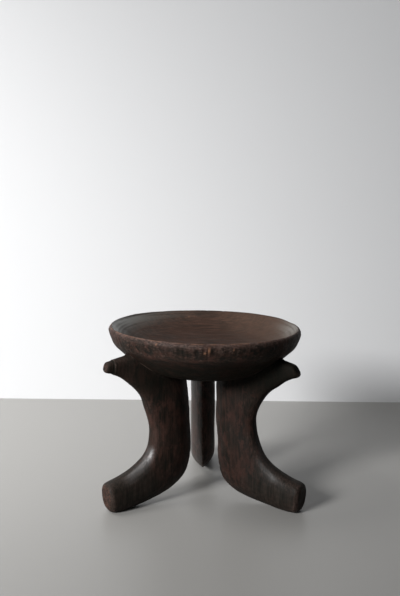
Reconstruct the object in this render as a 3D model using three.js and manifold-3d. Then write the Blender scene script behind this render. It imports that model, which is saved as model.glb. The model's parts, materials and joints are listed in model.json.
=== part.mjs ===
// A low three-legged stool carved from one block of dark hardwood: a dished round seat over three
// C-shaped legs, each with a spur that points out under the rim and a foot that sweeps out to the floor.
// Millimetres, +Z up, standing on the floor. The back leg points along +Y.
import * as THREE from "three";
import { mergeVertices } from "three/addons/utils/BufferGeometryUtils.js";
import Module from "manifold-3d";

const wasm = await Module();
wasm.setup();

// Driving dimensions.
const RIM_RADIUS = 150; // the seat's widest circle
const HEIGHT = 269; // floor to the top of the rim
const SEAT_DEPTH = 75.5; // top of the rim to the underside's lowest point
const DISH_DEPTH = 31; // top of the rim to the middle of the dish
const LEG_HALF_WIDTH = 18; // half of a leg's tangential width
const CARVED_SLOPE = Math.tan(THREE.MathUtils.degToRad(1.16)); // the top was carved out of level, high on -X
const SEAT_OFFSET = 2; // the seat's middle lies this far to +X of the legs' middle
const SEAM = 0.3; // gap kept between the seat and a leg's top

// Each leg's direction in degrees and how far out its spur reaches. The carver made no two alike:
// spurDrop lowers the middle of the spur's underside, root, waist and ankle move the leg's
// [outer, inner] outlines outwards there, kneeDrop lowers its knee, footReach makes the foot longer,
// and widen multiplies the leg's width.
const LEGS = [
  {
    name: "leg_left",
    azimuth: 212,
    spurReach: 170.5,
    spurDrop: -0.4,
    root: [2.4, -1.5],
    waist: [3.6, 0],
    ankle: [-3, -2.2],
    kneeDrop: 0,
    footReach: 0,
    widen: 1,
  },
  {
    name: "leg_right",
    azimuth: 328,
    spurReach: 165.8,
    spurDrop: 2.8,
    root: [1.2, -10.5],
    waist: [-3.6, -3.4],
    ankle: [1, 3.2],
    kneeDrop: 7.5,
    footReach: 1.5,
    widen: 1,
  },
  {
    name: "leg_back",
    azimuth: 90.5,
    spurReach: 168,
    spurDrop: 0,
    root: [0, 0],
    waist: [0, 0],
    ankle: [0, 0],
    kneeDrop: 0,
    footReach: 0,
    widen: 1.08,
  },
];

const SEAT_SEGMENTS = 72;
const LEG_SEGMENTS = { around: 24, along: 51 };

const DARK_WOOD = { color: 0x33261f, roughness: 0.55, metalness: 0 };

// ---- Shaping helpers -------------------------------------------------------------------------------

const mix = (a, b, t) => a + (b - a) * t;
const { smoothstep } = THREE.MathUtils;
const power = (value, exponent) => Math.sign(value) * Math.abs(value) ** exponent;

// Moves every vertex of a geometry to place(x, y, z), keeping only its positions and faces.
function reshape(geometry, place) {
  geometry.deleteAttribute("normal");
  geometry.deleteAttribute("uv");
  const position = geometry.getAttribute("position");
  for (let i = 0; i < position.count; i++) {
    position.setXYZ(i, ...place(position.getX(i), position.getY(i), position.getZ(i)));
  }
  return geometry;
}

// A unit cylinder whose rings become sections: share runs from 0 at its first end to 1 at its last,
// and (across, side) is the vertex's place on the unit circle, or the middle of an end.
function loft({ around, along }, place) {
  const cylinder = new THREE.CylinderGeometry(1, 1, 1, around, along);
  return reshape(cylinder, (x, y, z) => place(0.5 - y, x, -z));
}

// A point of a section with rounded corners; a higher exponent is squarer.
function rounded(across, side, exponent) {
  return [power(across, 2 / exponent), power(side, 2 / exponent)];
}

// A smooth curve through [r, z] points, read at a share of the way through them.
function outline(points) {
  const curve = new THREE.CatmullRomCurve3(
    points.map(([r, z]) => new THREE.Vector3(r, 0, z)),
    false,
    "centripetal",
  );
  return (share) => curve.getPoint(share);
}

// ---- Solids ----------------------------------------------------------------------------------------

function toSolid(geometry) {
  const merged = mergeVertices(geometry, 1e-3);
  const vertProperties = new Float32Array(merged.getAttribute("position").array);
  const triVerts = new Uint32Array(merged.index.array);
  return new wasm.Manifold(new wasm.Mesh({ numProp: 3, vertProperties, triVerts }));
}

function toGeometry(solid) {
  const { vertProperties, triVerts } = solid.getMesh();
  const geometry = new THREE.BufferGeometry();
  geometry.setAttribute("position", new THREE.BufferAttribute(vertProperties, 3));
  geometry.setIndex(new THREE.BufferAttribute(triVerts, 1));
  return geometry;
}

// Tips the seat and spurs out of level by CARVED_SLOPE, fading out down the legs. azimuth is the
// direction, in radians, that the geometry's own +X points in.
function tipTop(geometry, azimuth) {
  const FADE_LOW = 130;
  const FADE_HIGH = 215;
  return reshape(geometry, (x, y, z) => {
    const worldX = x * Math.cos(azimuth) - y * Math.sin(azimuth);
    return [x, y, z - CARVED_SLOPE * worldX * smoothstep(z, FADE_LOW, FADE_HIGH)];
  });
}

// ---- Seat ------------------------------------------------------------------------------------------

// The seat turned about its middle, grown by clearance on its underside and sides.
function seatGeometry(clearance = 0) {
  const bottom = HEIGHT - SEAT_DEPTH;
  const floor = HEIGHT - DISH_DEPTH;
  const underside = [
    [0, bottom],
    [40, bottom + 1],
    [68, bottom + 3.2],
    [87, bottom + 7.8],
    [101.5, bottom + 14.8],
    [119.5, bottom + 28],
    [134.5, bottom + 41],
    [142.3, bottom + 48.5], // the shoulder between the cone and the side band
    [147, bottom + 59.5],
    [RIM_RADIUS, HEIGHT - 7.5],
  ].map(([r, z]) => [r === 0 ? 0 : r + clearance, z - clearance]);
  const top = [
    [RIM_RADIUS - 1, HEIGHT - 2.5],
    [RIM_RADIUS - 4, HEIGHT], // the rim's crest
    [RIM_RADIUS - 6.5, HEIGHT - 1.5],
    [RIM_RADIUS - 10, HEIGHT - 5],
    [126, HEIGHT - 14.8],
    [112.5, HEIGHT - 21],
    [97, HEIGHT - 25.3], // foot of the dish's wall
    [70, floor + 2.6],
    [35, floor + 0.8],
    [0, floor],
  ];
  const profile = [...underside, ...top].map(([r, z]) => new THREE.Vector2(r, z));
  const lathe = new THREE.LatheGeometry(profile, SEAT_SEGMENTS);
  return reshape(lathe, (x, y, z) => [x + SEAT_OFFSET, -z, y]);
}

function seat() {
  return tipTop(seatGeometry(), 0);
}

// ---- Legs ------------------------------------------------------------------------------------------

// A leg is one C-shaped sweep in its own upright plane, from its spur's tip to its foot's end. Each
// station has a point [r, z] on the outer, hollow side of the C and one on the inner, bulging side.
// Where spur or foot is given, it is how far out along the spur or foot the station is, as a share. The
// floor cuts the bottom of the foot off flat, so the last but one inner point lies below it. The first
// and last stations are smaller than their neighbours, for the worn corners of the two ends.
const STATIONS = [
  { outer: [170, 213], inner: [170, 225], halfWidth: 7.2, spur: 1 },
  { outer: [168, 210.6], inner: [168, 227], halfWidth: 9, spur: 0.97 },
  { outer: [157, 208], inner: [156, 229.5], halfWidth: 9.7, spur: 0.8 },
  { outer: [144, 202], inner: [142, 232.5], halfWidth: 11.2, spur: 0.6 },
  { outer: [130, 191.5], inner: [124, 236], halfWidth: 14, spur: 0.3 },
  { outer: [118, 180.5], inner: [100, 236.5], halfWidth: 16.8 },
  { outer: [108.5, 168], inner: [72, 231] },
  { outer: [101, 150.5], inner: [43, 213] },
  { outer: [95.8, 134], inner: [32.5, 187] },
  { outer: [94.2, 118], inner: [27.8, 157] },
  { outer: [96, 103], inner: [25.2, 125] },
  { outer: [101, 88], inner: [24.8, 93] },
  { outer: [109.5, 74.5], inner: [26.2, 61] },
  { outer: [121.3, 64.6], inner: [36.5, 34.5] },
  { outer: [136.3, 56], inner: [65, 14.5] },
  { outer: [153.2, 49], inner: [115, 1.5], foot: 0.4 },
  { outer: [170.5, 43.4], inner: [164.5, -1.5], foot: 1 },
  { outer: [173.5, 38.5], inner: [170.5, 5.5], halfWidth: 14.2, foot: 1 },
];

// Where the root, the waist, the ankle and the knee are, and how far up and down each reaches.
const ROOT = { z: 203, spread: 32 };
const WAIST = { z: 142, spread: 24 };
const ANKLE = { z: 81, spread: 17 };
const KNEE = { z: 26, spread: 16 };

// The inner side of a leg has a soft ridge down its middle, which fades in under the seat and mostly
// out along the foot.
const RIDGE_FADE_SPUR = [60, 120];
const RIDGE_FADE_FOOT = [80, 150];
const RIDGE_LEFT_IN_FOOT = 0.3;
const RIDGE_SHARPNESS = 2.2;
const SECTION_EXPONENT = 2.7;

const bump = (z, { z: middle, spread }) => Math.exp(-(((z - middle) / spread) ** 2));

// One leg's outer or inner outline.
function legOutline(side, { spurReach, spurDrop, root, waist, ankle, kneeDrop, footReach }) {
  const isOuter = side === "outer";
  const i = isOuter ? 0 : 1;
  const points = STATIONS.map(({ [side]: [r, z], spur = 0, foot = 0 }) => {
    const stretch = spur * (spurReach - STATIONS[0].outer[0]) + foot * footReach;
    const carved = root[i] * bump(z, ROOT) + waist[i] * bump(z, WAIST) + ankle[i] * bump(z, ANKLE);
    const drop = isOuter ? 4 * spur * (1 - spur) * spurDrop : kneeDrop * bump(z, KNEE);
    return [r + stretch + carved, z - drop];
  });
  return outline(points);
}

// How strong the ridge is at a point of the inner outline, from 0 to 1.
function ridgeAt({ x: r, z }) {
  if (z > WAIST.z) {
    return 1 - smoothstep(r, ...RIDGE_FADE_SPUR);
  }
  return mix(1, RIDGE_LEFT_IN_FOOT, smoothstep(r, ...RIDGE_FADE_FOOT));
}

// A section's vertex: u runs from -1 on the inner side to 1 on the outer one, w from -1 to 1 across.
function legSection(across, side, ridge) {
  const [u, w] = rounded(across, side, SECTION_EXPONENT);
  if (across >= 0) {
    return [u, w];
  }
  const ridgeU = -((1 - Math.abs(side)) ** (1 / RIDGE_SHARPNESS));
  return [mix(u, ridgeU, ridge), mix(w, side, ridge)];
}

function legBody(spec) {
  const outerAt = legOutline("outer", spec);
  const innerAt = legOutline("inner", spec);
  const widthAt = outline(STATIONS.map(({ halfWidth = LEG_HALF_WIDTH }) => [halfWidth, 0]));
  return loft(LEG_SEGMENTS, (share, across, side) => {
    const outer = outerAt(share);
    const inner = innerAt(share);
    const [u, w] = legSection(across, side, ridgeAt(inner));
    const point = inner.lerp(outer, (1 + u) / 2);
    return [point.x, w * widthAt(share).x * spec.widen, point.z];
  });
}

// The floor as a thick slab, to wear the feet's undersides flat.
function floorSlab() {
  const DEPTH = 20;
  const slab = new THREE.BoxGeometry(500, 500, DEPTH).translate(0, 0, -DEPTH / 2);
  return toSolid(reshape(slab, (x, y, z) => [x, y, z]));
}

// A leg in its own frame, with +X pointing out.
function leg(spec) {
  const turn = THREE.MathUtils.degToRad(spec.azimuth);
  const hollow = toSolid(seatGeometry(SEAM).rotateZ(-turn));
  const carved = toSolid(legBody(spec)).subtract(hollow).subtract(floorSlab());
  return tipTop(toGeometry(carved), turn);
}

// ---- The stool -------------------------------------------------------------------------------------

function named(name, geometry) {
  const mesh = new THREE.Mesh(geometry, new THREE.MeshStandardMaterial(DARK_WOOD));
  mesh.name = name;
  geometry.computeVertexNormals();
  return mesh;
}

const carving = new THREE.Group();
carving.add(named("seat", seat()));
for (const spec of LEGS) {
  const mesh = named(spec.name, leg(spec));
  mesh.rotation.z = THREE.MathUtils.degToRad(spec.azimuth);
  carving.add(mesh);
}

// The part's origin is the middle of its box, on the floor.
const box = new THREE.Box3().setFromObject(carving, true);
const middle = box.getCenter(new THREE.Vector3());
carving.position.set(-middle.x, -middle.y, -box.min.z);

const stool = new THREE.Group();
stool.add(carving);

export default stool;
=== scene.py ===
"""The looks of a low three-legged stool carved from one block of dark wood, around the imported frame.

Everything is in metres, +Z up, in the frame's own place. The seat is turned again here with a fine grid,
and each leg is a fine copy of its CAD solid. Both are then worked over as a carver and years of use would.
"""

import json
import math

import bpy
import numpy as np
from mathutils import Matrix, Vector, noise
from mathutils.bvhtree import BVHTree


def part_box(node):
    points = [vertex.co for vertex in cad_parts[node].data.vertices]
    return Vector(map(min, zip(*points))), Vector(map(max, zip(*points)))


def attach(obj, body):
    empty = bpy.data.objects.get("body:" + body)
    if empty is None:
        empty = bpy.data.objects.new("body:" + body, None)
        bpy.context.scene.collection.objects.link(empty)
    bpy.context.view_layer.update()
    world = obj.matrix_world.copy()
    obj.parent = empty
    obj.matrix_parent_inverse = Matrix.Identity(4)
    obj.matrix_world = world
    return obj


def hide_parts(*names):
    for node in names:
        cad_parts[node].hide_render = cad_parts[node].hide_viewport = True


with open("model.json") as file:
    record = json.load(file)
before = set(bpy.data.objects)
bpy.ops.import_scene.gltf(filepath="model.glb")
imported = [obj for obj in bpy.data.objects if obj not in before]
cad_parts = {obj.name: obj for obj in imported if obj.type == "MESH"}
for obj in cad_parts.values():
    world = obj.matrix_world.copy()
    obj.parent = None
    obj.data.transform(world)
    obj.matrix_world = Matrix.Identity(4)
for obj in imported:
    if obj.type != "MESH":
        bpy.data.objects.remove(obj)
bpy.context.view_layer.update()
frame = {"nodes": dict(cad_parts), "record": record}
MM = 0.001

# ---- Places taken from the frame -------------------------------------------------------------------

SEAT_LOW, SEAT_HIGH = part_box("seat")
SEAT_MIDDLE = (SEAT_LOW + SEAT_HIGH) / 2
RIM_RADIUS = (SEAT_HIGH.x - SEAT_LOW.x) / 2
SEAT_OFFSET = 2 * MM  # the seat's middle lies this far to +X of the legs' middle
AXIS = np.array([SEAT_MIDDLE.x - SEAT_OFFSET, SEAT_MIDDLE.y])  # where the legs' middle is on plan
CARVED_SLOPE = math.tan(math.radians(1.16))  # the seat is out of level, high on -X
LIP_RADIUS = RIM_RADIUS - 4 * MM
RIM_TOP = SEAT_HIGH.z - CARVED_SLOPE * LIP_RADIUS  # the rim's height where it is level with the middle
PADS = {m["name"]: Vector(m["pos_m"]) for m in frame["record"]["mounts"]}


# ---- Numbers over many points ----------------------------------------------------------------------

def smoothstep(x, low, high):
    t = np.clip((x - low) / (high - low), 0, 1)
    return t * t * (3 - 2 * t)


def hump(x, middle, spread):
    """1 at the middle, falling smoothly to nothing at a few times the spread."""
    return np.exp(-(((x - middle) / spread) ** 2))


def unit(vectors):
    return vectors / np.maximum(np.linalg.norm(vectors, axis=-1, keepdims=True), 1e-12)


def field(points, size, seed):
    """Smooth noise from about -1 to 1. size is a feature's size in metres, or one for each axis."""
    shift = np.array([7.3, 3.1, 5.7]) * seed
    return np.array([noise.noise(Vector(p)) for p in points / np.array(size) + shift])


def scallops(points, size, seed):
    """0 in the middle of each shallow tool cut, and up to about 1 on the ridges between the cuts."""
    shift = np.array([4.1, 9.7, 2.3]) * seed
    return np.array([noise.voronoi(Vector(p))[0][0] ** 2 for p in points / np.array(size) + shift])


# ---- Meshes ----------------------------------------------------------------------------------------

# What the wood's material reads at each point, from 0 to 1. A mask that a piece doesn't set is 0.
MASKS = (
    "wear",  # the skin is rubbed through to browner wood
    "chip",  # a splinter came off and left pale wood
    "seam",  # pale crease between a leg and the seat
    "hollow",  # darker in a gouge, a dent or a scratch
    "painted_shade",  # painted shade: dull black skin where the seat shades its underside, the leg tops and the spurs
    "end",  # bare end grain
    "rubbed",  # polished by use
    "foot",  # the greyer skin of a foot
    "band",  # the seat's side, scuffed and grimy
    "dish",  # the browner inside of the seat
    "dish_lit_side",  # painted light: the dish's right side, which tilts towards the window, made lighter
    "wall",  # polished part of the dish's wall, where its colour also gets a painted grey reflection
)


class Sculpt:
    """A mesh's points and faces as arrays, with the masks that its material reads."""

    def __init__(self, points, faces):
        self.points = np.asarray(points, float)
        self.faces = [list(face) for face in faces]
        corners = [(f[i - 1], f[i]) for f in self.faces for i in range(len(f))]
        self.edges = np.unique(np.sort(np.array(corners), axis=1), axis=0)
        self.masks = {}
        self.read_normals()

    def read_normals(self):
        """Each face's normal comes from its diagonals. A triangle counts twice at its first corner."""
        a, b, c, d = (self.points[[f[i] for f in self.faces]] for i in (0, 1, 2, -1))
        across = np.cross(c - a, d - b)
        normals = np.zeros_like(self.points)
        for i in range(4):
            np.add.at(normals, [f[i % len(f)] for f in self.faces], across)
        self.normals = unit(normals)

    def push(self, distance):
        """Moves each point along its normal."""
        self.points += self.normals * distance[:, None]

    def around(self, values):
        """The mean of each point's neighbours."""
        total = np.zeros_like(values)
        count = np.zeros(len(values))
        for one, other in (self.edges.T, self.edges.T[::-1]):
            np.add.at(total, one, values[other])
            np.add.at(count, one, 1)
        return total / (count[:, None] if values.ndim > 1 else count)

    def convexity(self, rounds):
        """How far each point stands above its neighbours' mean, in metres, evened out over a few rounds."""
        bulge = ((self.points - self.around(self.points)) * self.normals).sum(1)
        for _ in range(rounds):
            bulge = (bulge + self.around(bulge)) / 2
        return bulge

    def build(self, name, grain):
        """Makes the object. grain is each point's place in the wood, whose fibres run along axis one."""
        mesh = bpy.data.meshes.new(name)
        mesh.from_pydata(self.points.tolist(), [], self.faces)
        for mask in MASKS:
            values = self.masks.get(mask, np.zeros(len(self.points)))
            attribute = mesh.attributes.new(mask, "FLOAT", "POINT")
            attribute.data.foreach_set("value", np.clip(values, 0, 1).astype(np.float32))
        attribute = mesh.attributes.new("grain", "FLOAT_VECTOR", "POINT")
        attribute.data.foreach_set("vector", grain.astype(np.float32).ravel())
        mesh.shade_smooth()
        obj = bpy.data.objects.new(name, mesh)
        bpy.context.scene.collection.objects.link(obj)
        return obj


def catmull_rom(points, step):
    """A smooth line through points, with steps of about the given length."""
    p = np.vstack([2 * points[0] - points[1], points, 2 * points[-1] - points[-2]])
    line = []
    for a, b, c, d in zip(p, p[1:], p[2:], p[3:]):
        count = max(2, round(np.linalg.norm(c - b) / step))
        t = (np.arange(count) / count)[:, None]
        line.append(0.5 * (2 * b + (c - a) * t + (2 * a - 5 * b + 4 * c - d) * t**2
                           + (3 * b - a - 3 * c + d) * t**3))
    return np.vstack([*line, points[-1:]])


def finish_piece(obj, node, material):
    obj.data.materials.append(material)
    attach(obj, "root")
    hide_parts(node)


# ---- The seat --------------------------------------------------------------------------------------

# The seat's outline from the middle of its underside, round the rim, to the middle of its dish:
# the radius and the depth below the rim's top, in millimetres. It is the CAD seat's own outline.
SEAT_OUTLINE = np.array([
    (0, 75.5), (40, 74.5), (68, 72.3), (87, 67.7), (101.5, 60.7), (119.5, 47.5), (134.5, 34.5), (142.3, 27),
    (147, 16), (150, 7.5), (149.6, 4.2), (148, 1.4), (146, 0), (144.6, 0.5), (142.6, 2.4), (126, 14.8),
    (112.5, 21), (97, 25.3), (70, 28.4), (35, 30.2), (0, 31),
])
SEAT_STEPS_ROUND = 600
SEAT_STEP = 2.3 * MM


def outline_length(index):
    """How far along the outline one of its points is, in millimetres."""
    return np.linalg.norm(np.diff(SEAT_OUTLINE[:index + 1], axis=0), axis=1).sum()


SHOULDER, OUTER_EDGE, LIP, WALL_TOP, WALL_FOOT = (outline_length(i) for i in (7, 9, 12, 14, 17))

# Angles round the seat are in radians from +X towards +Y.
FRONT = -math.pi / 2
RIM_RISES = ((0.85, 0.7, 1.5), (2.4, 0.5, 0.9), (0.32, 0.12, -0.9))  # angle, spread, millimetres up

# Tool cuts: the part of the seat, a cut's size along X, Y and Z, and its depth, in millimetres. They are
# upright on the band, broad on the cone under it, and along the grain in the dish.
SEAT_CUTS = (("band", (11, 11, 22), 0.75), ("cone", (22, 22, 22), 0.7), ("dish", (60, 17, 40), 0.35))
SEAT_CUTS_MEAN = 0.3  # taken off again, so that the surface stays about where it was
GOUGE_WIDTH, GOUGE_HEIGHT, GOUGE_DEPTH = 3.1 * MM, 26 * MM, 0.8 * MM
KNOCK_SIZE, KNOCK_DEPTH = 7 * MM, 0.7 * MM
SCRATCH_LENGTH, SCRATCH_WIDTH, SCRATCH_DEPTH = 110 * MM, 2.4 * MM, 0.08 * MM

# Where a splinter came off: the angle, the way along the outline, the width and the height in millimetres,
# and the strength. The last three are faint specks high on the back of the dish's wall.
SEAT_CHIPS = (
    (-1.535, OUTER_EDGE - 2, 1.1, 3.6, 1.3), (-1.575, OUTER_EDGE - 6, 1.3, 1.5, 1.3),
    (-1.30, OUTER_EDGE - 1, 0.8, 1.8, 1.0), (-2.05, OUTER_EDGE + 3, 1.0, 1.2, 1.0),
    (0.9, OUTER_EDGE, 1.5, 3.0, 1.3), (2.3, OUTER_EDGE - 3, 1.8, 2.2, 1.3),
    (1.77, LIP + 15, 1.7, 1.1, 0.5), (1.70, LIP + 14, 1.3, 0.9, 0.4), (1.82, LIP + 19, 1.0, 1.0, 0.35),
)
SEAM_REACH_ON_SEAT, SEAM_OUT, SEAM_SPREAD = 5 * MM, 2.0, 1.3  # the last two are in millimetres


def seat_grid():
    """The turned seat as rings of points, with each point's way along the outline in millimetres."""
    line = catmull_rom(SEAT_OUTLINE * MM, SEAT_STEP)
    line[:, 0] = np.maximum(line[:, 0], 0)
    along = np.r_[0, np.cumsum(np.linalg.norm(np.diff(line, axis=0), axis=1))] / MM
    angle = np.arange(SEAT_STEPS_ROUND) / SEAT_STEPS_ROUND * math.tau
    rings = line[1:-1]
    radius = rings[:, :1]
    x = radius * np.cos(angle)
    y = radius * np.sin(angle)
    z = RIM_TOP - rings[:, 1:] + 0 * x
    points = np.stack([x, y, z], -1).reshape(-1, 3)
    bottom, top = len(points), len(points) + 1
    points = np.vstack([points, [[0, 0, RIM_TOP - line[0, 1]], [0, 0, RIM_TOP - line[-1, 1]]]])
    faces = []
    last = (len(rings) - 1) * SEAT_STEPS_ROUND
    for row in range(0, last, SEAT_STEPS_ROUND):
        above = row + SEAT_STEPS_ROUND
        for j in range(SEAT_STEPS_ROUND):
            k = (j + 1) % SEAT_STEPS_ROUND
            faces.append((row + j, row + k, above + k, above + j))
    for j in range(SEAT_STEPS_ROUND):
        k = (j + 1) % SEAT_STEPS_ROUND
        faces.append((bottom, k, j))
        faces.append((top, last + j, last + k))
    s = np.r_[np.repeat(along[1:-1], SEAT_STEPS_ROUND), along[0], along[-1]]
    return Sculpt(points, faces), s


def seat_zones(s):
    """How much each point is in each part of the seat, from its way along the outline."""
    return {
        "cone": smoothstep(s, 20, 60) * (1 - smoothstep(s, SHOULDER - 22, SHOULDER + 3)),
        "band": smoothstep(s, SHOULDER - 4, SHOULDER + 4) * (1 - smoothstep(s, LIP - 4, LIP + 1)),
        "rim": smoothstep(s, SHOULDER - 25, SHOULDER + 5) * (1 - smoothstep(s, WALL_FOOT - 20, WALL_FOOT)),
        "wall": smoothstep(s, LIP, LIP + 2) * (1 - smoothstep(s, WALL_FOOT - 26, WALL_FOOT + 12)),
        "dish": smoothstep(s, LIP, LIP + 3),
    }


def bend_rim(sculpt, angle, on_rim, near_rim):
    """The rim was cut by eye, so its outline and its height wander a little."""
    p = sculpt.points
    wander = field(on_rim, 0.11, 1) * 1.1 + field(on_rim, 0.04, 2) * 0.45
    p[:, :2] += unit(p[:, :2]) * (wander * near_rim * MM)[:, None]
    p[:, 2] += (field(on_rim, 0.09, 3) * 0.4 + field(on_rim, 0.03, 4) * 0.3) * near_rim * MM
    raised = sum(height * hump(angle, where, spread) for where, spread, height in RIM_RISES)
    p[:, 2] += raised * near_rim * MM
    sculpt.read_normals()


def mark_seat(sculpt, s, angle, on_rim, zones):
    """Cuts the tool marks and the marks of use. Gives back how much of each kind is at each point."""
    p = sculpt.points
    unrolled = np.stack([angle * RIM_RADIUS, p[:, 2], 0 * angle], -1)
    cuts = sum(depth * scallops(p, np.array(size) * MM, seed) * zones[part]
               for seed, (part, size, depth) in enumerate(SEAT_CUTS, 1))
    sculpt.push((cuts - SEAT_CUTS_MEAN) * MM)

    # Chisel gouges in the band under the lip, most of them at the front, with lighter bruises between.
    front = 0.25 + 0.75 * hump(angle, FRONT + 0.1, 0.34)
    streak = field(unrolled, [GOUGE_WIDTH, GOUGE_HEIGHT, 1], 5)
    gouge = smoothstep(streak, 0.12, 0.42) * hump(s, OUTER_EDGE - 5, 7) * front
    bruise = smoothstep(-streak, 0.08, 0.3) * hump(s, OUTER_EDGE - 3, 6) * front
    sculpt.push(-GOUGE_DEPTH * gouge)

    # Dents where the lip was knocked.
    knock = smoothstep(field(p, KNOCK_SIZE, 6), 0.35, 0.7) * hump(s, LIP - 1, 5)
    sculpt.push(-KNOCK_DEPTH * knock)
    sculpt.read_normals()

    # Fine scratches round the dish's wall.
    ring_place = on_rim + np.stack([0 * s, 0 * s, s * MM], -1)
    scratch = smoothstep(field(ring_place, [SCRATCH_LENGTH, SCRATCH_LENGTH, SCRATCH_WIDTH], 9), -0.1, 0.5)
    scratch *= zones["wall"]
    sculpt.push(-SCRATCH_DEPTH * scratch)
    return gouge, bruise, knock, scratch


def seat_chips(angle, s):
    mask = 0 * s
    for where, along, wide, tall, strength in SEAT_CHIPS:
        mask += strength * hump((angle - where) * RIM_RADIUS / MM, 0, wide) * hump(s, along, tall)
    return mask


def seat_seams(points, s, leg_trees):
    """1 along the creases where the legs meet the seat and the dark skin is worn off, with gaps."""
    line = 0 * s
    broken = smoothstep(field(points, 14 * MM, 8), -0.35, 0.25)
    for i in np.flatnonzero(s < SHOULDER):
        for tree, strength in leg_trees:
            distance = tree.find_nearest(Vector(points[i]), SEAM_REACH_ON_SEAT)[3]
            if distance is not None:
                line[i] = max(line[i], strength * hump(distance / MM, SEAM_OUT, SEAM_SPREAD))
    return line * broken


def make_seat(leg_trees):
    sculpt, s = seat_grid()
    p = sculpt.points
    angle = np.arctan2(p[:, 1], p[:, 0])
    on_rim = np.stack([np.cos(angle), np.sin(angle), 0 * angle], -1) * RIM_RADIUS
    zones = seat_zones(s)
    bend_rim(sculpt, angle, on_rim, zones["rim"])
    gouge, bruise, knock, scratch = mark_seat(sculpt, s, angle, on_rim, zones)

    # The lip is rubbed along its crest, most just left of the front, and is broken down to pale wood
    # in places there.
    patch = 0.5 + 0.5 * field(on_rim, 0.05, 7)
    rub = hump(s, LIP - 2.5, 4.0) * (0.2 + 0.8 * patch) * (0.5 + 0.65 * hump(angle, -1.65, 0.7))
    rub += 0.9 * hump(s, LIP - 0.8, 1.3)
    broken = smoothstep(field(on_rim, 9 * MM, 10), -0.45, 0.25)
    crest = 0.45 * hump(s, LIP - 0.7, 1.0) * broken * (1 - smoothstep(angle, -1.1, -0.5))
    edge = np.clip(sculpt.convexity(2) / (0.12 * MM), 0, 1)

    # The dish's wall is polished on the left and on the right, and less towards its foot. There its colour
    # also gets a painted grey reflection.
    polish_and_sheen = hump(np.abs(angle), math.pi, 0.85) + 0.55 * hump(angle, 0.05, 0.36)
    polish_and_sheen *= 1 - 0.85 * smoothstep(s, WALL_TOP, WALL_FOOT - 20)

    sculpt.masks["wear"] = rub + 0.25 * edge * zones["rim"] + 0.75 * bruise
    sculpt.masks["chip"] = seat_chips(angle, s) + crest
    sculpt.masks["hollow"] = gouge * 0.8 + knock * 0.3 + scratch * polish_and_sheen * 0.3
    # Painted shade: the cone under the seat is darkened as if in the seat's own shadow.
    sculpt.masks["painted_shade"] = 0.75 * zones["cone"]
    sculpt.masks["band"] = zones["band"]
    sculpt.masks["dish"] = zones["dish"]
    # Painted light: the dish's right side, which faces the window, is given a lighter tan.
    sculpt.masks["dish_lit_side"] = zones["dish"] * smoothstep(p[:, 0] + 0.3 * p[:, 1], 30 * MM, 115 * MM)
    sculpt.masks["wall"] = zones["wall"] * polish_and_sheen * (1 - 0.45 * scratch)

    # Until here the seat is level, with its middle on the frame's axis.
    p[:, 2] -= CARVED_SLOPE * p[:, 0]
    p[:, 0] += SEAT_MIDDLE.x
    p[:, 1] += SEAT_MIDDLE.y
    sculpt.masks["seam"] = seat_seams(p, s, leg_trees)
    finish_piece(sculpt.build("carved_seat", p), "seat", dark_wood("seat_wood", 1.0))


# ---- The legs --------------------------------------------------------------------------------------

LEG_VOXEL = 1.35 * MM
SPUR_FROM = 180 * MM  # above this, what stands out beyond the seat's underside is the spur
KNIFE_CUT = 19 * MM

# These are in millimetres.
KNIFE_DEPTH = 0.55
LEG_FULLER = 0.35  # how much the leg stands out, but for its sole
RING_FROM_TIP, RING_DEPTH = 12.5, 0.8  # the ring across the top of the spur
RIDGE_FROM_TIP, RIDGE_HEIGHT = 14.7, 0.3  # and the ridge behind it
TIP_THINNED = 1.1

SEAM_REACH = 4 * MM  # how near the seat a leg's top is drawn up into it
SEAM_DEPTH = 3 * MM  # and how far inside the seat it ends, so that the crease between them is crisp

# How the legs differ, as shares: the depth of the ring on the spur, the polish of the bend and of the
# -X side, the painted shade on the spur, the bare end grain, which is low on the right leg as painted shade
# on its foot's end, the pale crease at the seat, and painted light: how much lighter or darker the whole
# skin is made for the light that falls on the leg.
LEGS = (
    dict(side="left", ring=1.0, bend=0.85, flank=0.0, spur_shade=0.6, bare_end_lit=1.0, crease=1.0, painted_light=0.8),
    dict(side="right", ring=0.15, bend=0.35, flank=0.0, spur_shade=1.0, bare_end_lit=0.15, crease=0.25, painted_light=0.66),
    dict(side="back", ring=0.6, bend=0.6, flank=0.7, spur_shade=0.6, bare_end_lit=0.7, crease=0.4, painted_light=1.2),
)


def fine_copy(node):
    """A node's solid as an even, fine mesh, smoothed enough to lose its facets."""
    copy = bpy.data.objects.new(node + "_fine", frame["nodes"][node].data.copy())
    bpy.context.scene.collection.objects.link(copy)
    remesh = copy.modifiers.new("even", "REMESH")
    remesh.mode = "VOXEL"
    remesh.voxel_size = LEG_VOXEL
    smooth = copy.modifiers.new("smooth", "SMOOTH")
    smooth.factor = 0.5
    smooth.iterations = 8
    evaluated = copy.evaluated_get(bpy.context.evaluated_depsgraph_get())
    mesh = evaluated.to_mesh()
    points = np.array([v.co for v in mesh.vertices])
    faces = [tuple(f.vertices) for f in mesh.polygons]
    evaluated.to_mesh_clear()
    bpy.data.objects.remove(copy)
    return Sculpt(points, faces)


def draw_up_to_seat(sculpt, seat_tree):
    """Stretches a leg's top into the seat."""
    for i, point in enumerate(sculpt.points):
        if point[2] < SEAT_LOW.z - SEAM_REACH:
            continue
        nearest, _, _, distance = seat_tree.find_nearest(Vector(point))
        if distance < SEAM_REACH:
            way = (np.array(nearest) - point) / max(distance, 1e-6)
            sculpt.points[i] = point + way * (SEAM_REACH - distance) * (1 + SEAM_DEPTH / SEAM_REACH)


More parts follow.
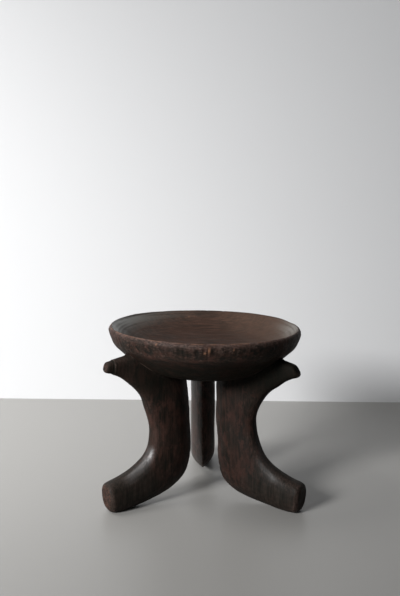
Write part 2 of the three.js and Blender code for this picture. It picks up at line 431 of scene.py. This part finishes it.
def leg_seam(sculpt, seat_tree):
    """1 along the crease where a leg meets the seat, fading out within a few millimetres."""
    seam = np.zeros(len(sculpt.points))
    for i, point in enumerate(sculpt.points):
        if point[2] > SEAT_LOW.z - 5 * MM:
            seam[i] = hump(seat_tree.find_nearest(Vector(point))[3], 0, 1.6 * MM)
    return seam


def make_leg(leg, seat_tree):
    node = "leg_" + leg["side"]
    sculpt = fine_copy(node)
    p = sculpt.points

    # r is the way out from the legs' middle to the foot, t the way across, and z the height, before any cut.
    pad = PADS["foot_pad_" + leg["side"]]
    out = unit(np.array([pad.x, pad.y]) - AXIS)
    r = (p[:, :2] - AXIS) @ out
    t = (p[:, :2] - AXIS) @ np.array([-out[1], out[0]])
    z = p[:, 2].copy()
    foot_end = r.max()
    is_spur = smoothstep(z, SPUR_FROM, SPUR_FROM + 10 * MM)
    from_tip = (r[z > SPUR_FROM].max() - r) / MM

    # Knife and adze work along the leg, and a slow and a finer wander of the whole surface.
    along = np.stack([r, t, z * 0.45], -1)
    cuts = scallops(along, KNIFE_CUT, 11) * KNIFE_DEPTH
    cuts += field(p, 0.045, 12) * 0.5 + field(p, 0.016, 13) * 0.2
    sculpt.push((cuts + LEG_FULLER) * smoothstep(z, 0.5 * MM, 6 * MM) * MM)

    # A shallow ring cut across the top of the spur, with the tip a little thinner beyond it.
    top_of_spur = smoothstep(z, SPUR_FROM + 32 * MM, SPUR_FROM + 42 * MM) * leg["ring"]
    ring = hump(from_tip, RING_FROM_TIP, 0.9) * top_of_spur
    ridge = hump(from_tip, RIDGE_FROM_TIP, 1.0) * top_of_spur
    thin_tip = (1 - smoothstep(from_tip, 9, 16)) * is_spur * leg["ring"]
    sculpt.push((RIDGE_HEIGHT * ridge - RING_DEPTH * ring - TIP_THINNED * thin_tip) * MM)
    draw_up_to_seat(sculpt, seat_tree)
    p[:, 2] = np.maximum(p[:, 2], 0)
    sculpt.read_normals()

    seam = leg_seam(sculpt, seat_tree)
    patch = smoothstep(field(p, 0.03, 14), -0.2, 0.5)
    edge = np.clip(sculpt.convexity(3) / (0.09 * MM), 0, 1)
    end = smoothstep(sculpt.normals[:, :2] @ out, 0.75, 0.93)
    foot_face = end * smoothstep(r, foot_end - 6 * MM, foot_end - 2 * MM)
    spur_face = end * (1 - smoothstep(from_tip, 2, 4)) * is_spur
    to_front_up = smoothstep(sculpt.normals[:, 2], 0.1, 0.5) * smoothstep(-sculpt.normals[:, 1], 0.2, 0.65)
    inboard = 1 - smoothstep(r, foot_end - 45 * MM, foot_end - 15 * MM)
    # Painted shade: the leg's top and spur under the seat are darkened as if in the seat's shadow, the spur
    # less so on some legs.
    painted_shade = smoothstep(z + 0.35 * (r - 60 * MM), 160 * MM, 213 * MM)
    painted_shade *= 1 - (1 - leg["spur_shade"]) * smoothstep(r, 95 * MM, 130 * MM)

    sculpt.masks["wear"] = edge * (0.35 + 0.5 * patch) + 0.5 * seam * patch + 0.6 * ridge
    sculpt.masks["end"] = np.clip(foot_face + spur_face, 0, 1) * leg["bare_end_lit"]
    sculpt.masks["hollow"] = 0.8 * ring
    sculpt.masks["foot"] = smoothstep(r - z, 20 * MM, 85 * MM) * (1 - is_spur)
    sculpt.masks["rubbed"] = to_front_up * (1 - is_spur) * inboard * leg["bend"]
    sculpt.masks["rubbed"] += leg["flank"] * smoothstep(-sculpt.normals[:, 0], 0.45, 0.9)
    sculpt.masks["painted_shade"] = painted_shade * (1 - 0.6 * spur_face)
    obj = sculpt.build("carved_" + node, np.stack([z, r, t], -1))
    finish_piece(obj, node, dark_wood(node + "_wood", leg["painted_light"]))


# ---- The wood --------------------------------------------------------------------------------------

# The skin's colours, which each member makes a little lighter or darker as painted light or shade.
SKIN_BLACK = (0.0075, 0.0066, 0.0050)
SKIN_BROWN = (0.034, 0.0162, 0.0120)
SKIN_DULL = (0.0100, 0.0092, 0.0070)
SKIN_RED = (0.045, 0.0215, 0.0160)
SKIN_STREAK = (0.050, 0.0265, 0.0200)
FOOT_DARK, FOOT_LIGHT = (0.0085, 0.0080, 0.0060), (0.024, 0.0200, 0.0158)
BAND_SCUFF, BAND_GRIME = (0.088, 0.058, 0.048), (0.0062, 0.0066, 0.0055)
# Painted shade under the seat, laid over the skin there.
SHADE_BLACK = (0.0092, 0.0094, 0.0075)

# The other colours are the same on every member.
DISH_DARK, DISH_LIGHT = (0.017, 0.0110, 0.0080), (0.056, 0.0285, 0.0195)
DISH_RED = (0.045, 0.0215, 0.0140)
# Painted light on the dish's right side.
DISH_LIT = (0.085, 0.054, 0.039)
# A painted grey reflection on the dish's polished wall.
DISH_SHEEN = (0.30, 0.305, 0.278)
WORN_DARK, WORN_LIGHT = (0.046, 0.0275, 0.0225), (0.108, 0.073, 0.062)
END_DARK, END_LIGHT = (0.012, 0.009, 0.0072), (0.075, 0.037, 0.027)
HOLLOW_DARK = (0.005, 0.004, 0.0032)
SEAM_WOOD = (0.135, 0.098, 0.074)
FRESH_WOOD = (0.19, 0.095, 0.055)
RELIEF = 0.7 * MM


class Nodes:
    """Short ways to add and join a material's nodes. A colour is a socket or a plain (red, green, blue)."""

    def __init__(self, name):
        self.material = bpy.data.materials.new(name)
        self.material.use_nodes = True
        self.tree = self.material.node_tree
        self.shader = self.tree.nodes["Principled BSDF"]

    def add(self, kind, inputs=None, **settings):
        node = self.tree.nodes.new("ShaderNode" + kind)
        for key, value in settings.items():
            setattr(node, key, value)
        for key, value in (inputs or {}).items():
            self.set(node.inputs[key], value)
        return node

    def set(self, socket, value):
        if isinstance(value, bpy.types.NodeSocket):
            self.tree.links.new(value, socket)
        elif socket.type == "RGBA":
            socket.default_value = (*value, 1.0)
        else:
            socket.default_value = value

    def mask(self, name):
        return self.add("Attribute", attribute_name=name).outputs["Fac"]

    def noise(self, place, scale, detail=3.0, roughness=0.55, distortion=0.0, along=1.0):
        """Noise with its features drawn out along the grain where along is below 1."""
        if along != 1.0:
            mapping = self.add("Mapping", {"Vector": place, "Scale": (along, 1, 1)}, vector_type="POINT")
            place = mapping.outputs["Vector"]
        node = self.add("TexNoise", {"Vector": place, "Scale": scale, "Detail": detail,
                                     "Roughness": roughness, "Distortion": distortion})
        return node.outputs["Fac"]

    def ramp(self, value, low, high, to_low=0.0, to_high=1.0):
        node = self.add("MapRange", {"Value": value, "From Min": low, "From Max": high,
                                     "To Min": to_low, "To Max": to_high}, interpolation_type="SMOOTHSTEP")
        return node.outputs["Result"]

    def math(self, operation, a, b):
        return self.add("Math", {0: a, 1: b}, operation=operation).outputs[0]

    def blend(self, share, a, b):
        node = self.add("Mix", {"Factor": share}, data_type="RGBA", blend_type="MIX")
        self.set(node.inputs[6], a)
        self.set(node.inputs[7], b)
        return node.outputs[2]

    def cover(self, base, mask, share, colour):
        """Lays a colour over the base as far as a mask and a share go."""
        return self.blend(self.math("MULTIPLY", self.mask(mask), share), base, colour)


def dark_wood(name, painted_light):
    """The wood of one member. Its second argument is painted light: it makes all of the skin lighter or
    darker for how lit or shaded the member is.
    """
    n = Nodes(name)
    grain = n.add("Attribute", attribute_name="grain").outputs["Vector"]
    broad = n.noise(grain, 21, 4)
    mottle = n.noise(grain, 75, 5, 0.6, 0.4, along=0.35)
    streaks = n.noise(grain, 420, 5, 0.65, along=0.055)
    fibres = n.noise(grain, 1500, 3, 0.7, along=0.04)
    base = skin_colour(n, grain, broad, mottle, streaks, painted_light)
    base = n.cover(base, "dish", 0.85, dish_colour(n, broad, streaks))
    n.set(n.shader.inputs["Base Color"], worn_colour(n, base, grain, streaks, painted_light))

    # The dish is duller than the skin, and the polished places are smoother and catch more light.
    rough = n.ramp(mottle, 0.3, 0.7, 0.5, 0.64)
    rough = n.math("ADD", rough, n.ramp(fibres, 0.3, 0.7, -0.05, 0.07))
    rough = n.math("ADD", rough, n.math("MULTIPLY", n.mask("dish"), 0.14))
    rough = n.math("SUBTRACT", rough, n.math("MULTIPLY", n.mask("wall"), 0.32))
    rough = n.math("SUBTRACT", rough, n.math("MULTIPLY", n.mask("rubbed"), 0.14))
    n.set(n.shader.inputs["Roughness"], rough)
    shine = n.ramp(n.math("MAXIMUM", n.mask("wall"), n.mask("rubbed")), 0, 1, 0.08, 0.9)
    shine = n.math("MULTIPLY", shine, n.ramp(n.mask("painted_shade"), 0, 1, 1, 0.2))
    n.set(n.shader.inputs["Specular IOR Level"], shine)

    # Open pores and fine fibres in relief.
    height = n.math("ADD", n.math("MULTIPLY", streaks, 0.6), n.math("MULTIPLY", fibres, 0.4))
    height = n.math("ADD", height, n.math("MULTIPLY", n.noise(grain, 260, 4, 0.6), 0.5))
    bump = n.add("Bump", {"Height": height, "Strength": 0.75, "Distance": RELIEF})
    n.set(n.shader.inputs["Normal"], bump.outputs["Normal"])
    return n.material


def toned(colour, painted_light):
    return tuple(channel * painted_light for channel in colour)


def skin_colour(n, grain, broad, mottle, streaks, painted_light):
    """Black and red-brown mottling, greyer on the feet, and scuffed and grimy on the seat's band."""
    black, brown, dull, reddish, streak, foot_dark, foot_light, scuff, grime = (
        toned(colour, painted_light) for colour in (SKIN_BLACK, SKIN_BROWN, SKIN_DULL, SKIN_RED, SKIN_STREAK,
                                           FOOT_DARK, FOOT_LIGHT, BAND_SCUFF, BAND_GRIME))
    base = n.blend(n.ramp(mottle, 0.38, 0.62), black, brown)
    base = n.blend(n.ramp(broad, 0.38, 0.62, 0, 0.85), base, dull)
    patches = n.noise(grain, 95, 4, 0.7, 0.3, along=0.55)
    base = n.blend(n.ramp(patches, 0.5, 0.66, 0, 0.8), base, reddish)
    base = n.blend(n.ramp(streaks, 0.42, 0.72, 0, 0.45), base, streak)
    base = n.cover(base, "foot", 0.8, n.blend(n.ramp(streaks, 0.35, 0.7), foot_dark, foot_light))
    scuffs = n.noise(grain, 190, 5, 0.75, 0.5, along=0.8)
    base = n.cover(base, "band", n.ramp(scuffs, 0.54, 0.66, 0, 0.6), scuff)
    blots = n.noise(grain, 88, 4, 0.7, 0.5, along=0.8)
    return n.cover(base, "band", n.ramp(blots, 0.5, 0.62, 0, 0.85), grime)


def dish_colour(n, broad, streaks):
    dish = n.blend(n.ramp(streaks, 0.4, 0.64), DISH_DARK, DISH_LIGHT)
    dish = n.blend(n.ramp(broad, 0.4, 0.65, 0, 0.5), dish, DISH_RED)
    # Painted light on the dish's right side.
    dish = n.cover(dish, "dish_lit_side", 0.5, DISH_LIT)
    # A painted grey reflection on the dish's polished wall.
    return n.cover(dish, "wall", 0.7, DISH_SHEEN)


def worn_colour(n, base, grain, streaks, painted_light):
    """The base colour with wear, end grain, darker hollows, painted shade under the seat, the seams and the
    chips over it.
    """
    speckle = n.noise(grain, 480, 3, 0.6, along=0.7)
    worn = n.blend(n.ramp(streaks, 0.35, 0.65), WORN_DARK, WORN_LIGHT)
    base = n.cover(base, "wear", n.ramp(speckle, 0.4, 0.6, 0.25, 1.0), worn)
    pores = n.noise(grain, 330, 4, 0.7)
    base = n.cover(base, "end", 0.75, n.blend(n.ramp(pores, 0.42, 0.62), END_DARK, END_LIGHT))
    base = n.cover(base, "hollow", 0.7, HOLLOW_DARK)
    # Painted shade under the seat.
    base = n.cover(base, "painted_shade", 0.85, toned(SHADE_BLACK, painted_light))
    base = n.cover(base, "seam", 0.8, SEAM_WOOD)
    return n.cover(base, "chip", 1.0, FRESH_WOOD)


# ---- Floor, wall, light and camera -----------------------------------------------------------------

WALL_BEHIND = 0.542  # from the legs' middle to the wall
WALL_TURN = -0.039  # how much nearer the wall is for each metre to +X
WALL_HEIGHT = 4.0
FLOOR_HALF = 6.0  # from the middle to the floor's edges
FLOOR_COLOUR, FLOOR_ROUGHNESS = (0.262, 0.255, 0.242), 0.42
WALL_COLOUR, WALL_ROUGHNESS = (0.53, 0.53, 0.532), 0.9

# A window high at the front left, and a weak light from above onto the floor at the left.
LIGHTS = (
    dict(name="window", place=(-2.55, -2.5, 1.8), target=(-0.32, 0.63, 0), size=(1.15, 0.95),
         spread=60, power=34, colour=(0.985, 0.99, 1.0)),
    dict(name="ceiling", place=(-1.1, 0.1, 1.6), target=(-0.75, 0.25, 0), size=(1.0, 0.7),
         spread=80, power=5.6, colour=(1.0, 1.0, 1.0)),
)
AIR_COLOUR, AIR_STRENGTH = (0.9, 0.95, 1.0), 0.1

CAMERA_BACK = 1.2768  # from the legs' middle
CAMERA_RIGHT = -5.4 * MM
CAMERA_HEIGHT = 0.4972
CAMERA_DOWN = math.radians(8.24)
CAMERA_LENS, CAMERA_SENSOR = 50, 36  # in millimetres, as Blender has them


def plain_sheet(name, corners, colour, roughness):
    mesh = bpy.data.meshes.new(name)
    mesh.from_pydata(corners, [], [(0, 1, 2, 3)])
    obj = bpy.data.objects.new(name, mesh)
    bpy.context.scene.collection.objects.link(obj)
    n = Nodes(name)
    n.set(n.shader.inputs["Base Color"], colour)
    n.set(n.shader.inputs["Roughness"], roughness)
    mesh.materials.append(n.material)


def make_stage():
    half, top = FLOOR_HALF, WALL_HEIGHT
    left, right = (AXIS[1] + WALL_BEHIND + WALL_TURN * x for x in (-half, half))
    plain_sheet("floor", [(-half, -half, 0), (half, -half, 0), (half, right, 0), (-half, left, 0)],
                FLOOR_COLOUR, FLOOR_ROUGHNESS)
    plain_sheet("wall", [(-half, left, 0), (half, right, 0), (half, right, top), (-half, left, top)],
                WALL_COLOUR, WALL_ROUGHNESS)


def area_light(name, place, target, size, spread, power, colour):
    light = bpy.data.lights.new(name, "AREA")
    light.shape = "RECTANGLE"
    light.size, light.size_y = size
    light.spread = math.radians(spread)
    light.energy = power
    light.color = colour
    obj = bpy.data.objects.new(name, light)
    obj.location = place
    obj.rotation_euler = (Vector(target) - Vector(place)).to_track_quat("-Z", "Y").to_euler()
    bpy.context.scene.collection.objects.link(obj)


def make_lights():
    for light in LIGHTS:
        area_light(**light)
    world = bpy.data.worlds.new("room_air")
    world.use_nodes = True
    world.node_tree.nodes["Background"].inputs["Color"].default_value = (*AIR_COLOUR, 1.0)
    world.node_tree.nodes["Background"].inputs["Strength"].default_value = AIR_STRENGTH
    bpy.context.scene.world = world


def make_camera():
    camera = bpy.data.cameras.new("camera")
    camera.lens = CAMERA_LENS
    camera.sensor_width = CAMERA_SENSOR
    camera.sensor_fit = "AUTO"
    obj = bpy.data.objects.new("camera", camera)
    obj.location = (AXIS[0] + CAMERA_RIGHT, AXIS[1] - CAMERA_BACK, CAMERA_HEIGHT)
    obj.rotation_euler = (math.pi / 2 - CAMERA_DOWN, 0, 0)
    bpy.context.scene.collection.objects.link(obj)
    bpy.context.scene.camera = obj


def cad_tree(node):
    """For finding the nearest point of a node's CAD solid."""
    return BVHTree.FromObject(frame["nodes"][node], bpy.context.evaluated_depsgraph_get())


make_camera()
make_stage()
make_lights()
bpy.context.scene.view_settings.view_transform = "Standard"

seat_tree = cad_tree("seat")
leg_trees = [(cad_tree("leg_" + leg["side"]), leg["crease"]) for leg in LEGS]
make_seat(leg_trees)
for leg in LEGS:
    make_leg(leg, seat_tree)
